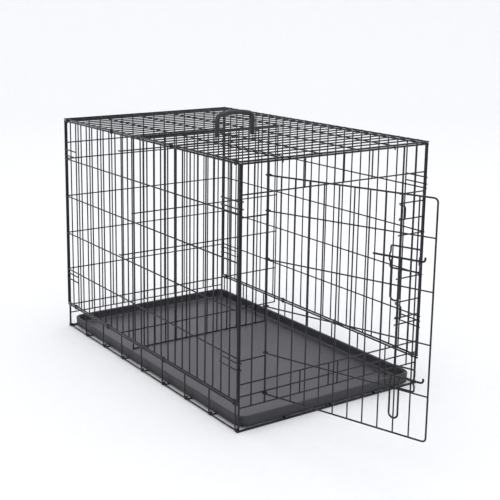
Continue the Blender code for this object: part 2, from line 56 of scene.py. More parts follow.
# places set by the frame's joints
wall_hinge = Vector(joints["right_wall_fold"]["pos_m"])
top_hinge = Vector(joints["top_lift"]["pos_m"])
door_hinge = Vector(joints["door_swing"]["pos_m"])
handle_foot = Vector(joints["handle_tilt"]["pos_m"])
door_along = -Vector(joints["upper_bolt_slide"]["axis"])
door_out = Vector((door_along.y, -door_along.x, 0.0))
HALF_W = wall_hinge.x
HALF_L = -door_hinge.y
HINGE_Z = wall_hinge.z
TOP_Z = top_hinge.z
JAMB_X = -door_hinge.x

# radii of the coated round wires, about the mean width of the frame's square bars
FRAME_R = 0.0024
PIN_R = 0.0024
GRID_R = 0.00185
BASE_R = 0.0019
DOOR_R = 0.0020
DOOR_GRID_R = 0.00165
KEEPER_R = 0.0019
ROD_R = 0.0023
PULL_R = 0.0021
STRIKE_R = 0.0017
RING_R = 0.0010
CLIP_R = 0.0011
# fits between wires: how deep welded wires sink into each other, running gap, wire ends
BITE = 0.0016
GAP = 0.0003
TAIL = 0.003
TUCK = 0.001
# rounding of a clipped end: steps in from it and shares of the wire's radius
CLIPPED_END = ((0.0, 0.62), (0.14, 0.88), (0.45, 1.0))
LAYER = GRID_R - BITE / 2
# radii of the weld beads, from two grid wires crossing up to the lip's rail
GRID_BEAD = 0.0017
STRIP_BEAD = 0.0018
RAIL_BEAD = 0.0019
FRAME_BEAD = 0.0021
LIP_BEAD = 0.0026
BOLT_BEAD = 0.0027
# walls
RING_PITCH = 0.0054
BASE_RING_PITCH = 0.0066
RING_TURNS = 2.5
RING_LEAD = 2.15 * RING_R
WALL_BAYS = 26
WALL_ROWS = 5
LOW_ROW_SHORTFALL = 0.007
BAY = 2 * HALF_L / WALL_BAYS
WALL_TOP = TOP_Z - RING_PITCH
LIP_TOP = HINGE_Z - BASE_RING_PITCH
ROW = (WALL_TOP - HINGE_Z + LOW_ROW_SHORTFALL) / WALL_ROWS
ROWS = tuple(WALL_TOP - ROW * (WALL_ROWS - k) for k in range(1, WALL_ROWS))
HOOK_MIDDLES = (ROWS[3] + 0.0200, ROWS[0] - 0.0205)
HOOK_SPACING = 0.0175
HOOK_LENGTH = 2 * BAY
CORNER_X = HALF_W - 0.0052
POST_N = 0.0008
RAIL_N = POST_N - 2 * GRID_R + BITE
CLEAR_N = FRAME_R + GAP + GRID_R + 0.0002
HOOK_BEND = 0.004
# top
TOP_STRIPS = 5
STRIP = 2 * HALF_W / TOP_STRIPS
TOP_HOOK_DROP = 0.010
TOP_BEAD_RISE = 0.0008
# door end
MID_POST_X = HALF_W - 0.040
DOORWAY_TOP = TOP_Z - 0.077
DOORWAY_SILL = 0.119
LOW_RAIL = 0.0885
BOTTOM_RAIL = 0.060
SHORT_POSTS = (-0.1055, -0.0145, 0.0145, 0.1055)
UPPER_STUB = TOP_Z - 0.130
LOWER_STUB = 0.178
LATCH_STUBS = (UPPER_STUB + 0.003, LOWER_STUB - 0.0005)
FLOOR_TOP = 4 * BASE_R - BITE
BACK_BAYS = 15
BACK_RAILS = (TOP_Z - 0.071, *ROWS, 0.069, 0.043)
# base
LIP_COUNT = 9
LIP_END_INSET = 0.007
FLOOR_RUNNERS = (-0.146, 0.0, 0.146)
EYE_RADIUS = 0.0033
EYE_LEAD = 2.1 * BASE_R
# door
DOOR_EDGE = 2 * JAMB_X - 0.0085
DOOR_TOP = TOP_Z - 0.037
DOOR_BOTTOM = 0.0842
DOOR_BARS = 10
DOOR_FIRST_BAR = 0.039
DOOR_LAST_BAR = DOOR_EDGE - 0.0395
DOOR_CORNER = 0.009
DOOR_BEND = 0.0028
DOOR_GRID_BEND = 0.0026
DOOR_GRID_N = PIN_R + GAP + DOOR_GRID_R
DOOR_FRAME_N = PIN_R + GAP + DOOR_R
DOOR_BAR_N = DOOR_GRID_N + 2 * DOOR_GRID_R - BITE
# bolts
KEEPER_N = DOOR_BAR_N + DOOR_GRID_R + GAP + KEEPER_R
ROD_N = DOOR_BAR_N + DOOR_GRID_R + GAP + ROD_R
BRIDGE_N = ROD_N + ROD_R + GAP + KEEPER_R
PULL_N = KEEPER_N + KEEPER_R + GAP + PULL_R
BOLT_HEIGHTS = {"upper": ROWS[3] - 0.0525, "lower": ROWS[0] + 0.0304}
BOLT_ADVANCES = {"upper": 0.0, "lower": 0.009}
ROD_TIP = DOOR_EDGE - 0.0185
ROD_LENGTH = 0.120
ROD_TURN_RADIUS = 0.0066
KEEPER_FAR = DOOR_EDGE - 0.0295
KEEPER_NEAR = KEEPER_FAR - 0.0675
KEEPER_HALF = 0.0245
KEEPER_BEND = 0.0035
PULL_NEAR = KEEPER_NEAR + 0.0046
PULL_WIDTH = 0.0205
PULL_DROP = 0.0935
PULL_KNEE = 0.011
PULL_BEND = 0.004
STRIKE_HALF = 0.0175
STRIKE_REACH = 0.0180
STRIKE_BEND = 0.006
STRIKE_X = JAMB_X - PIN_R - GAP - STRIKE_R
STRIKE_STUB = STRIKE_HALF + STRIKE_R + GAP + GRID_R
# divider
DIVIDER_LEFT = -HALF_W + 0.056
DIVIDER_RIGHT = HALF_W - 0.017
DIVIDER_BAYS = 14
DIVIDER_TOP = WALL_TOP - 0.020
DIVIDER_HOOK_ROWS = (0.066, 0.296, 0.594)
DIVIDER_PLAIN_ROWS = (0.178, 0.412)
DIVIDER_HOOK_GAP = 0.0175
DIVIDER_HOOK_LENGTH = 0.009
DIVIDER_FOOT_RISE = 0.0014
DIVIDER_POST_FOOT = 0.0006
# handle
HANDLE_HALF = 0.055
HANDLE_RISE = 0.078
HANDLE_ARCH = 0.007
HANDLE_R = 0.0062
HANDLE_CORNER = 0.018
CLIP_OUT = 0.0035
CLIP_LOOP = 0.0100
CLIP_BEND = 0.0022
# tray: corner radius, and loops of its wall from the foot over the rim and down to the floor panel, which
# carry a painted shade: these loops are coloured darker than the floor for the shade on the sides
TRAY_CORNER = 0.030
TRAY_PAINTED_SHADE_LOOPS = 22


# ---------------------------------------------------------------- wire work

class WireWork:
    """Paths and weld beads of one piece."""

    def __init__(self):
        self.points = []
        self.edges = []
        self.radii = []
        self.bends = []
        self.beads = []

    def _point(self, place, radius, bend, bead=0.0):
        self.points.append(tuple(place))
        self.radii.append(radius)
        self.bends.append(bend)
        self.beads.append(bead)

    def wire(self, path, radius, bend=0.0, closed=False):
        """A wire with clipped ends, their edges rounded by the coating."""
        path = [Vector(point) for point in path]
        start = len(self.points)
        head, tail = [], []
        if not closed:
            inward = (path[1] - path[0]).normalized() * radius
            back = (path[-2] - path[-1]).normalized() * radius
            head = [(path[0] + inward * step, share) for step, share in CLIPPED_END]
            tail = [(path[-1] + back * step, share) for step, share in CLIPPED_END[::-1]]
            path = path[1:-1]
        for point, share in head:
            self._point(point, radius * share, 0.0)
        for point in path:
            self._point(point, radius, bend)
        for point, share in tail:
            self._point(point, radius * share, 0.0)
        end = len(self.points)
        self.edges += [(k, k + 1) for k in range(start, end - 1)]
        if closed:
            self.edges.append((end - 1, start))

    def welds(self, places, size):
        for place in places:
            self._point(place, size, 0.0, size)

    def mesh(self, name):
        mesh = bpy.data.meshes.new(name)
        mesh.from_pydata(self.points, self.edges, [])
        for label, values in (("wire_radius", self.radii), ("bend", self.bends), ("bead", self.beads)):
            mesh.attributes.new(label, "FLOAT", "POINT").data.foreach_set("value", values)
        return mesh


def drawn_wire_tree():
    """Geometry Nodes: paths to round wires, loose points to weld beads."""
    tree = bpy.data.node_groups.new("drawn_wire", "GeometryNodeTree")
    face = tree.interface
    face.new_socket("Paths", in_out="INPUT", socket_type="NodeSocketGeometry")
    for label, value in (("Sides", 12), ("Bend Steps", 5), ("Bead Sides", 8)):
        face.new_socket(label, in_out="INPUT", socket_type="NodeSocketInt").default_value = value
    face.new_socket("Finish", in_out="INPUT", socket_type="NodeSocketMaterial")
    face.new_socket("Wires", in_out="OUTPUT", socket_type="NodeSocketGeometry")
    given = tree.nodes.new("NodeGroupInput").outputs

    def node(kind, settings=None, **links):
        made = tree.nodes.new(kind)
        for key, value in (settings or {}).items():
            setattr(made, key, value)
        for key, value in links.items():
            socket = made.inputs[key.replace("_", " ")]
            if isinstance(value, bpy.types.NodeSocket):
                tree.links.new(value, socket)
            else:
                socket.default_value = value
        return made.outputs[0]

    def named(label):
        return node("GeometryNodeInputNamedAttribute", {"data_type": "FLOAT"}, Name=label)

    is_bead = node("ShaderNodeMath", {"operation": "GREATER_THAN"}, Value=named("bead"))
    is_bead.node.inputs[1].default_value = 0.0
    parts = node("GeometryNodeSeparateGeometry", {"domain": "POINT"}, Geometry=given["Paths"],
                 Selection=is_bead)
    curve = node("GeometryNodeMeshToCurve", Mesh=parts.node.outputs["Inverted"])
    bent = node("GeometryNodeFilletCurve", {"mode": "POLY"}, Curve=curve, Count=given["Bend Steps"],
                Radius=named("bend"), Limit_Radius=True)
    ring = node("GeometryNodeCurvePrimitiveCircle", Resolution=given["Sides"], Radius=1.0)
    round_wire = node("GeometryNodeCurveToMesh", Curve=bent, Profile_Curve=ring,
                      Scale=named("wire_radius"), Fill_Caps=True)
    spots = node("GeometryNodeMeshToPoints", Mesh=parts)
    bead = node("GeometryNodeMeshUVSphere", Segments=given["Bead Sides"], Rings=5, Radius=1.0)
    beads = node("GeometryNodeInstanceOnPoints", Points=spots, Instance=bead, Scale=named("bead"))
    solid_beads = node("GeometryNodeRealizeInstances", Geometry=beads)
    join = tree.nodes.new("GeometryNodeJoinGeometry")
    tree.links.new(round_wire, join.inputs[0])
    tree.links.new(solid_beads, join.inputs[0])
    smooth = node("GeometryNodeSetShadeSmooth", Geometry=join.outputs[0])
    whole = node("GeometryNodeRealizeInstances", Geometry=smooth)
    coated = node("GeometryNodeSetMaterial", Geometry=whole, Material=given["Finish"])
    tree.links.new(coated, tree.nodes.new("NodeGroupOutput").inputs["Wires"])
    return tree


WIRE_TREE = drawn_wire_tree()


def placed(name, mesh, body, nodes):
    """Show a finished mesh on a body of the frame in place of its solids."""
    obj = bpy.data.objects.new(name, mesh)
    bpy.context.scene.collection.objects.link(obj)
    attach(obj, body)
    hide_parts(*nodes)
    return obj


def drawn(name, work, finish, body, nodes, sides=12, bend_steps=5):
    """Draw wire work with the tree and show the plain mesh."""
    paths = bpy.data.objects.new(name + "_paths", work.mesh(name + "_paths"))
    bpy.context.scene.collection.objects.link(paths)
    modifier = paths.modifiers.new("drawn_wire", "NODES")
    modifier.node_group = WIRE_TREE
    wanted = {"Sides": sides, "Bend Steps": bend_steps, "Finish": finish}
    for item in WIRE_TREE.interface.items_tree:
        if item.in_out == "INPUT" and item.name in wanted:
            modifier[item.identifier] = wanted[item.name]
    bpy.context.view_layer.update()
    evaluated = paths.evaluated_get(bpy.context.evaluated_depsgraph_get())
    mesh = bpy.data.meshes.new_from_object(evaluated)
    mesh.name = name
    bpy.data.objects.remove(paths, do_unlink=True)
    return placed(name, mesh, body, nodes)


def arc(centre, radius, start_deg, turn_deg, steps):
    """Points of an arc in a plane, as pairs."""
    angles = [math.radians(start_deg + turn_deg * k / steps) for k in range(steps + 1)]
    return [(centre[0] + radius * math.cos(a), centre[1] + radius * math.sin(a)) for a in angles]


# ---------------------------------------------------------------- finishes

class Value:
    """A socket of a finish that can stand in sums."""

    def __init__(self, finish, socket):
        self.finish = finish
        self.socket = socket

    def __add__(self, other):
        return self.finish.maths("ADD", self, other)

    def __sub__(self, other):
        return self.finish.maths("SUBTRACT", self, other)

    def __rsub__(self, other):
        return self.finish.maths("SUBTRACT", other, self)

    def __mul__(self, other):
        return self.finish.maths("MULTIPLY", self, other)

    __radd__ = __add__
    __rmul__ = __mul__


class Finish:
    """A procedural material on the piece's own coordinates."""

    def __init__(self, name, **fixed):
        self.material = bpy.data.materials.new(name)
        self.material.use_nodes = True
        self.tree = self.material.node_tree
        self.shader = self.tree.nodes["Principled BSDF"]
        for key, value in fixed.items():
            self.shader.inputs[key.replace("_", " ")].default_value = value
        self.place = self.node("ShaderNodeTexCoord")["Object"]

    def node(self, kind, settings=None, sockets=None):
        """Add a node: its settings first, then values or links of its sockets."""
        made = self.tree.nodes.new(kind)
        for key, value in (settings or {}).items():
            if key == "stops":
                for element, (position, colour) in zip(made.color_ramp.elements, value):
                    element.position = position
                    element.color = (*colour, 1.0)
            else:
                setattr(made, key, value)
        named = {item.name: item for item in made.inputs if item.enabled}
        for key, value in (sockets or {}).items():
            socket = made.inputs[key] if isinstance(key, int) else named[key]
            if isinstance(value, Value):
                self.tree.links.new(value.socket, socket)
            else:
                socket.default_value = value
        return {output.name: Value(self, output) for output in made.outputs if output.enabled}

    def maths(self, operation, first, second):
        return self.node("ShaderNodeMath", {"operation": operation}, {0: first, 1: second})["Value"]

    def noise(self, scale, detail=2.0, roughness=0.5, place=None):
        sockets = {"Vector": place or self.place, "Scale": scale, "Detail": detail, "Roughness": roughness}
        return self.node("ShaderNodeTexNoise", None, sockets)["Fac"]

    def stretched(self, stretch):
        return self.node("ShaderNodeMapping", None, {"Vector": self.place, "Scale": stretch})["Vector"]

    def band(self, value, low, high):
        sockets = {"Value": value, "From Min": low, "From Max": high}
        return self.node("ShaderNodeMapRange", {"interpolation_type": "SMOOTHSTEP"}, sockets)["Result"]

    def colours(self, value, low, high):
        stops = ((0.3, low), (0.7, high))
        return self.node("ShaderNodeValToRGB", {"stops": stops}, {"Fac": value})["Color"]

    def wear_and_painted_shade(self, colour, share, worn_and_shade_tone):
        """The colour shifted to another where share is high: used for real wear and scuffs, and for the
        painted shade on the tray.
        """
        sockets = {"Factor": share}
        for label, tone in (("A", colour), ("B", worn_and_shade_tone)):
            sockets[label] = tone if isinstance(tone, Value) else (*tone, 1.0)
        return self.node("ShaderNodeMix", {"data_type": "RGBA"}, sockets)["Result"]

    def along(self, axis):
        """How far along one axis of the piece."""
        return self.node("ShaderNodeSeparateXYZ", None, {"Vector": self.place})[axis]

    def bump(self, height, strength, depth):
        sockets = {"Height": height, "Strength": strength, "Distance": depth}
        return self.node("ShaderNodeBump", None, sockets)["Normal"]

    def done(self, **driven):
        for key, value in driven.items():
            self.tree.links.new(value.socket, self.shader.inputs[key.replace("_", " ")])
        return self.material


def powder_coat(name, colour, roughness):
    """Baked black powder coat: orange peel, cloudy gloss, a few rubbed specks."""
    finish = Finish(name, Metallic=0.0, Specular_IOR_Level=0.3)
    peel = finish.noise(1400.0, 3.0, 0.55)
    pits = finish.noise(420.0, 2.0, 0.4)
    cloud = finish.noise(9.0, 3.0)
    lighter = tuple(part * 1.9 + 0.003 for part in colour)
    tint = finish.colours(cloud, colour, lighter)
    rubbed = finish.band(finish.noise(260.0, 4.0, 0.65), 0.70, 0.76)
    tint = finish.wear_and_painted_shade(tint, rubbed * 0.35, (0.055, 0.054, 0.058))
    gloss = roughness - 0.06 + cloud * 0.10 + peel * 0.05 + rubbed * 0.08
    normal = finish.bump(peel * 0.7 + pits * 0.5, 0.22, 0.00025)
    return finish.done(Base_Color=tint, Roughness=gloss, Normal=normal)


def blackened_steel():
    """Bent steel wire of the hinge rings: blackened, its draw lines and scuffs showing."""
    finish = Finish("blackened_ring_steel")
    draw = finish.noise(900.0, 3.0, 0.6)
    scuff = finish.band(finish.noise(150.0, 4.0, 0.6), 0.58, 0.72)
    tint = finish.wear_and_painted_shade(finish.colours(draw, (0.014, 0.014, 0.016), (0.032, 0.031, 0.035)), scuff * 0.5,
                       (0.10, 0.10, 0.11))
    normal = finish.bump(draw, 0.2, 0.0002)
    return finish.done(Base_Color=tint, Roughness=0.38 - scuff * 0.08 + draw * 0.06,
                       Metallic=0.35 + scuff * 0.5, Normal=normal)


def moulded_tray_plastic():
    """Charcoal tray plastic: fine spark grain, slight flow clouds, hairline scuffs along the length, painted
    shade on the walls, and a painted shade and reflection gradient that is darker towards the right front.
    """
    finish = Finish("moulded_tray_plastic", Metallic=0.0)
    grain = finish.noise(1500.0, 3.0, 0.6)
    cloud = finish.noise(5.0, 4.0)
    lines = finish.noise(220.0, 3.0, 0.7, finish.stretched((1.0, 0.035, 1.0)))
    scuff = finish.band(lines, 0.63, 0.70) * finish.band(finish.noise(14.0, 2.0), 0.45, 0.62)
    tint = finish.colours(cloud, (0.072, 0.070, 0.080), (0.090, 0.087, 0.100))
    tint = finish.wear_and_painted_shade(tint, scuff * 0.3, (0.150, 0.148, 0.158))
    # painted shade and painted reflection: the tray is darker towards its right front and lighter towards its
    # left back, following how the light falls across it
    painted_shade_gradient = 1.0 - finish.band(finish.along("X") - finish.along("Y") * 0.45, -0.10, 0.42) * 0.62
    tint = finish.wear_and_painted_shade((0.018, 0.018, 0.022), painted_shade_gradient, tint)
    # painted shade: the tray's walls and rim coloured near black for the shade on its sides under the
    # overhead light; the floor panel keeps its colour
    wall = finish.node("ShaderNodeAttribute", {"attribute_name": "tray_wall_painted_shade"})["Fac"]
    tint = finish.wear_and_painted_shade(tint, wall * 0.93, (0.016, 0.016, 0.020))
    normal = finish.bump(grain + scuff * 0.6, 0.25, 0.0003)
    gloss = 0.36 + cloud * 0.10 + grain * 0.06 + scuff * 0.06
    return finish.done(Base_Color=tint, Roughness=gloss, Normal=normal)


def grip_plastic():
    """Black handle plastic with a fine leathery grain, rubbed slightly glossy."""
    finish = Finish("handle_grip_plastic", Metallic=0.0)
    cells = finish.node("ShaderNodeTexVoronoi", None, {"Vector": finish.place, "Scale": 750.0})["Distance"]
    cloud = finish.noise(26.0, 3.0)
    tint = finish.colours(cloud, (0.013, 0.013, 0.015), (0.024, 0.024, 0.027))
    normal = finish.bump(cells, 0.35, 0.0003)
    return finish.done(Base_Color=tint, Roughness=0.40 + cloud * 0.14, Normal=normal)


def studio_paper():
    finish = Finish("studio_paper", Metallic=0.0)
    fibre = finish.noise(40.0, 3.0)
    return finish.done(Base_Color=finish.colours(fibre, (0.90, 0.90, 0.905), (0.915, 0.915, 0.92)),
                       Roughness=0.85 + fibre * 0.05)


# ---------------------------------------------------------------- base and walls

def eyelet(sign, y):
    """Path of a lip wire: down, one full turn into a foot eye, then off along the floor."""
    x = sign * (HALF_W - EYE_RADIUS)
    turns = arc((0.0, BASE_R + EYE_RADIUS), EYE_RADIUS, 180, 450, 25)
    return [(x - sign * across, y - EYE_LEAD * min(1.0, k / 20), z) for k, (across, z) in enumerate(turns)]


def base_wires():
    work = WireWork()
    for k in range(LIP_COUNT):
        y = -HALF_L + LIP_END_INSET + k * 2 * (HALF_L - LIP_END_INSET) / (LIP_COUNT - 1)
        left = eyelet(-1, y)
        right = eyelet(1, y)
        path = [(-HALF_W, y, LIP_TOP + TUCK)] + left + right[::-1] + [(HALF_W, y, LIP_TOP + TUCK)]
        work.wire(path, BASE_R)
        floor_y = left[-1][1]
        work.welds([(x, floor_y, 2 * BASE_R - BITE / 2) for x in FLOOR_RUNNERS], RAIL_BEAD)
        work.welds([(sign * HALF_W, y, LIP_TOP) for sign in (-1, 1)], LIP_BEAD)
    for sign in (-1, 1):
        y = sign * (HALF_L + 0.0005)
        work.wire([(-HALF_W, y, BASE_R), (HALF_W, y, BASE_R)], BASE_R)
    reach = HALF_L + TAIL
    runner_z = 3 * BASE_R - BITE
    for x in (*FLOOR_RUNNERS, -HALF_W + 2 * BASE_R - BITE, HALF_W - 2 * BASE_R + BITE):
        work.wire([(x, -reach, runner_z), (x, reach, runner_z)], BASE_R)
    for x in (-HALF_W, HALF_W):
        work.wire([(x, -reach, LIP_TOP), (x, reach, LIP_TOP)], FRAME_R)
    return work


def side_wall_wires(sign):
    work = WireWork()

    def at(u, v, n):
        return (sign * (HALF_W + n), u, v)

    reach = HALF_L + TAIL
    for height in (HINGE_Z, WALL_TOP):
        work.wire([at(-reach, height, 0), at(reach, height, 0)], FRAME_R)
    for height in ROWS:
        work.wire([at(-reach, height, LAYER), at(reach, height, LAYER)], GRID_R)
    inward = CORNER_X - FRAME_R - GAP - HALF_W
    for end in (-1, 1):
        for middle in HOOK_MIDDLES:
            for height in (middle - HOOK_SPACING / 2, middle + HOOK_SPACING / 2):
                back = end * (HALF_L - HOOK_LENGTH - TAIL)
                tip = end * (HALF_L + CLEAR_N)
                path = [at(back, height, LAYER), at(tip, height, LAYER), at(tip, height, inward)]
                work.wire(path, GRID_R, HOOK_BEND)
                work.welds([at(end * (HALF_L - j * BAY), height, 0) for j in (1, 2)], GRID_BEAD)
    for k in range(WALL_BAYS + 1):
        y = -HALF_L + k * BAY
        edge = k in (0, WALL_BAYS)
        radius, n = (FRAME_R, 0) if edge else (GRID_R, -LAYER)
        work.wire([at(y, HINGE_Z - TUCK, n), at(y, WALL_TOP + TUCK, n)], radius)
        work.welds([at(y, height, 0) for height in ROWS], GRID_BEAD)
        work.welds([at(y, height, -GRID_R) for height in (HINGE_Z, WALL_TOP)], FRAME_BEAD)
    return work


def top_wires():
    work = WireWork()
    reach = HALF_L + TAIL
    low = TOP_Z - LAYER
    for x in (-HALF_W, HALF_W):
        work.wire([(x, -reach, TOP_Z), (x, reach, TOP_Z)], FRAME_R)
    tip = HALF_L + CLEAR_N
    down = low - TOP_HOOK_DROP
    for k in range(1, TOP_STRIPS):
        x = -HALF_W + k * STRIP
        path = [(x, -reach, low), (x, reach, low)]
        if k in (1, TOP_STRIPS - 1):
            path = [(x, -tip, down), (x, -tip, low), (x, tip, low), (x, tip, down)]
        work.wire(path, GRID_R, HOOK_BEND)
    for k in range(WALL_BAYS + 1):
        y = -HALF_L + k * BAY
        edge = k in (0, WALL_BAYS)
        radius, z = (FRAME_R, TOP_Z) if edge else (GRID_R, TOP_Z + LAYER)
        work.wire([(-HALF_W - TUCK, y, z), (HALF_W + TAIL, y, z)], radius)
        work.welds([(-HALF_W + j * STRIP, y, TOP_Z) for j in range(1, TOP_STRIPS)], STRIP_BEAD)
        work.welds([(x, y, TOP_Z + TOP_BEAD_RISE) for x in (-HALF_W, HALF_W)], RAIL_BEAD)
    return work


def door_end_wires():
    work = WireWork()

    def at(x, z, n):
        return (x, -HALF_L - n, z)

    tall = (BOTTOM_RAIL - TUCK, WALL_TOP + TUCK)
    posts = []
    for sign in (-1, 1):
        foot = FLOOR_TOP + GAP
        work.wire([at(sign * CORNER_X, foot, 0), at(sign * CORNER_X, tall[1], 0)], FRAME_R)
        work.wire([at(sign * JAMB_X, tall[0], 0), at(sign * JAMB_X, tall[1], 0)], PIN_R)
        posts.append((sign * MID_POST_X, *tall))
    for x in SHORT_POSTS:
        posts.append((x, DOORWAY_TOP - TUCK, tall[1]))
        posts.append((x, tall[0], DOORWAY_SILL + TUCK))
    for x, low, high in posts:
        work.wire([at(x, low, POST_N), at(x, high, POST_N)], GRID_R)
    end = CORNER_X + TUCK
    work.wire([at(-end, WALL_TOP, 0), at(end, WALL_TOP, 0)], FRAME_R)
    rails = [(-end, end, z) for z in (DOORWAY_TOP, DOORWAY_SILL, LOW_RAIL, BOTTOM_RAIL)]
    rails += [(-end, -JAMB_X + TAIL, z) for z in (UPPER_STUB, LOWER_STUB)]
    stubs = [ROWS[2], ROWS[1], *LATCH_STUBS]
    for middle in BOLT_HEIGHTS.values():
        stubs += [middle - STRIKE_STUB, middle + STRIKE_STUB]
    rails += [(STRIKE_X - TAIL, end, z) for z in stubs]
    for low, high, z in rails:
        work.wire([at(low, z, RAIL_N), at(high, z, RAIL_N)], GRID_R)
        across = [(x, z) for x, foot, head in posts if low < x < high and foot <= z <= head]
        work.welds([at(x, z, POST_N - LAYER) for x, z in across], GRID_BEAD)
        frame_posts = [x for x in (-CORNER_X, -JAMB_X, JAMB_X, CORNER_X) if low < x < high]
        work.welds([at(x, z, RAIL_N + GRID_R) for x in frame_posts], RAIL_BEAD)
    return work


def back_wires():
    work = WireWork()

    def at(x, z, n):
        return (x, HALF_L + n, z)

    head = WALL_TOP + TUCK
    for sign in (-1, 1):
        work.wire([at(sign * CORNER_X, FLOOR_TOP + GAP, 0), at(sign * CORNER_X, head, 0)], FRAME_R)
    places = [-CORNER_X + k * 2 * CORNER_X / BACK_BAYS for k in range(1, BACK_BAYS)]
    for x in places:
        work.wire([at(x, BACK_RAILS[-1] - TUCK, POST_N), at(x, head, POST_N)], GRID_R)
    end = CORNER_X + TUCK
    work.wire([at(-end, WALL_TOP, 0), at(end, WALL_TOP, 0)], FRAME_R)
    for z in BACK_RAILS:
        work.wire([at(-end, z, RAIL_N), at(end, z, RAIL_N)], GRID_R)
        work.welds([at(x, z, POST_N - LAYER) for x in places], GRID_BEAD)
        work.welds([at(x, z, RAIL_N + GRID_R) for x in (-CORNER_X, CORNER_X)], RAIL_BEAD)
    return work


def divider_wires():
    work = WireWork()
    low_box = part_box("divider_panel")[0]
    y = low_box.y + GRID_R + LAYER
    foot = low_box.z + DIVIDER_FOOT_RISE
    pitch = (DIVIDER_RIGHT - DIVIDER_LEFT) / DIVIDER_BAYS
    places = [DIVIDER_LEFT + k * pitch for k in range(DIVIDER_BAYS + 1)]
    rear = y + LAYER
    ends = {foot: places[-2], **{row: places[-1] for row in DIVIDER_PLAIN_ROWS}}
    for height, right in ends.items():
        work.wire([(DIVIDER_LEFT - TUCK, rear, height), (right + TUCK, rear, height)], GRID_R)
    work.wire([(DIVIDER_LEFT - TUCK, y, DIVIDER_TOP), (DIVIDER_RIGHT + TUCK, y, DIVIDER_TOP)], DOOR_R)
    reach = -HALF_W + DIVIDER_HOOK_GAP + GRID_R
    for height in DIVIDER_HOOK_ROWS:
        path = [(reach, rear + DIVIDER_HOOK_LENGTH, height), (reach, rear, height)]
        work.wire(path + [(DIVIDER_RIGHT + TUCK, rear, height)], GRID_R, HOOK_BEND)
    for k, x in enumerate(places):
        low = (foot if k < DIVIDER_BAYS else DIVIDER_HOOK_ROWS[0]) - DIVIDER_POST_FOOT
        work.wire([(x, y - LAYER, low), (x, y - LAYER, DIVIDER_TOP + TUCK)], GRID_R)
        rows = [row for row in (foot, *DIVIDER_PLAIN_ROWS, *DIVIDER_HOOK_ROWS) if row >= low]
        work.welds([(x, y, row) for row in rows], GRID_BEAD)
    return work


# ---------------------------------------------------------------- hinge rings

def coiled_ring(work, x, y, pin_z, pitch):
    """Spring-wound ring: two and a half oval turns round the pin and the wire below it."""
    wide = PIN_R + GAP + RING_R
    low = pin_z - pitch
    oval = [(x + a, z) for a, z in arc((0.0, pin_z), wide, 0, 180, 6)]
    oval += [(x + a, z) for a, z in arc((0.0, low), wide, 180, 180, 6)]
    count = int(len(oval) * RING_TURNS)
    path = []
    for k in range(count):
        across, z = oval[k % len(oval)]
        path.append((across, y + RING_LEAD * (k / len(oval) - RING_TURNS / 2), z))
    work.wire(path, RING_R)


def ring_set(prefix, pitch):
    """All the rings whose nodes share a name, wound at their nodes' places."""
    work = WireWork()
    names = sorted(node for node in frame["nodes"] if node.startswith(prefix))
    for node in names:
        low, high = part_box(node)
        middle = (low + high) / 2
        coiled_ring(work, middle.x, middle.y, high.z - 2 * RING_R - GAP - PIN_R, pitch)
    return work, names


# ---------------------------------------------------------------- door and bolts

def on_door(s, n, z):
    """A point of the open door from its distance along it, outward offset and height."""
    flat = door_hinge + door_along * s + door_out * n
    return (flat.x, flat.y, z)


def hinge_hook(n, radius, height):
    """A wire end bent round the hinge jamb, ending on the door's plane."""
    loop = PIN_R + GAP + radius
    tip = n - 2 * radius - 0.0012
    return [on_door(s, m, height) for s, m in ((loop, tip), (loop, -loop), (-loop, -loop), (-loop, n))]


def door_wires():
    work = WireWork()
    n = DOOR_FRAME_N
    r = DOOR_CORNER
    path = hinge_hook(n, DOOR_R, DOOR_TOP)
    path += [on_door(s, n, z) for s, z in arc((DOOR_EDGE - r, DOOR_TOP - r), r, 90, -90, 8)]
    path += [on_door(s, n, z) for s, z in arc((DOOR_EDGE - r, DOOR_BOTTOM + r), r, 0, -90, 8)]
    path += hinge_hook(n, DOOR_R, DOOR_BOTTOM)[::-1]
    work.wire(path, DOOR_R, DOOR_BEND)
    for height in ROWS:
        path = hinge_hook(DOOR_GRID_N, DOOR_GRID_R, height) + [on_door(DOOR_EDGE + TUCK, DOOR_GRID_N, height)]
        work.wire(path, DOOR_GRID_R, DOOR_GRID_BEND)
    pitch = (DOOR_LAST_BAR - DOOR_FIRST_BAR) / (DOOR_BARS - 1)
    for k in range(DOOR_BARS):
        s = DOOR_FIRST_BAR + k * pitch
        ends = [on_door(s, DOOR_BAR_N, z) for z in (DOOR_BOTTOM - TUCK, DOOR_TOP + TUCK)]
        work.wire(ends, DOOR_GRID_R)
        work.welds([on_door(s, (DOOR_GRID_N + DOOR_BAR_N) / 2, z) for z in ROWS], GRID_BEAD)
        work.welds([on_door(s, DOOR_BAR_N - DOOR_GRID_R, z) for z in (DOOR_BOTTOM, DOOR_TOP)], STRIP_BEAD)
    work.welds([on_door(DOOR_EDGE, DOOR_GRID_N, z) for z in ROWS], FRAME_BEAD)
    return work


def bolt_wires(height, advance):
    """Slide rod with its tip turned up, and the long pull bent from a second wire."""
    work = WireWork()
    tip = ROD_TIP + advance
    near = PULL_NEAR + advance
    hook = arc((tip - ROD_TURN_RADIUS, ROD_TURN_RADIUS), ROD_TURN_RADIUS, -90, 125, 12)
    rod = [(tip - ROD_LENGTH, 0.0)] + hook
    work.wire([on_door(s, ROD_N, height + z) for s, z in rod], ROD_R)
    r = PULL_WIDTH / 2
    far = near + PULL_WIDTH
    knee = height - PULL_KNEE
    bend = arc((near + r, height - PULL_DROP + r), r, 180, 180, 16)
    path = [on_door(near, ROD_N, height), on_door(near, PULL_N, knee)]
    path += [on_door(s, PULL_N, z) for s, z in bend]
    path += [on_door(far, PULL_N, knee), on_door(far, ROD_N, height)]
    work.wire(path, PULL_R, PULL_BEND)
    work.welds([on_door(s, ROD_N, height) for s in (near, far)], BOLT_BEAD)
    return work


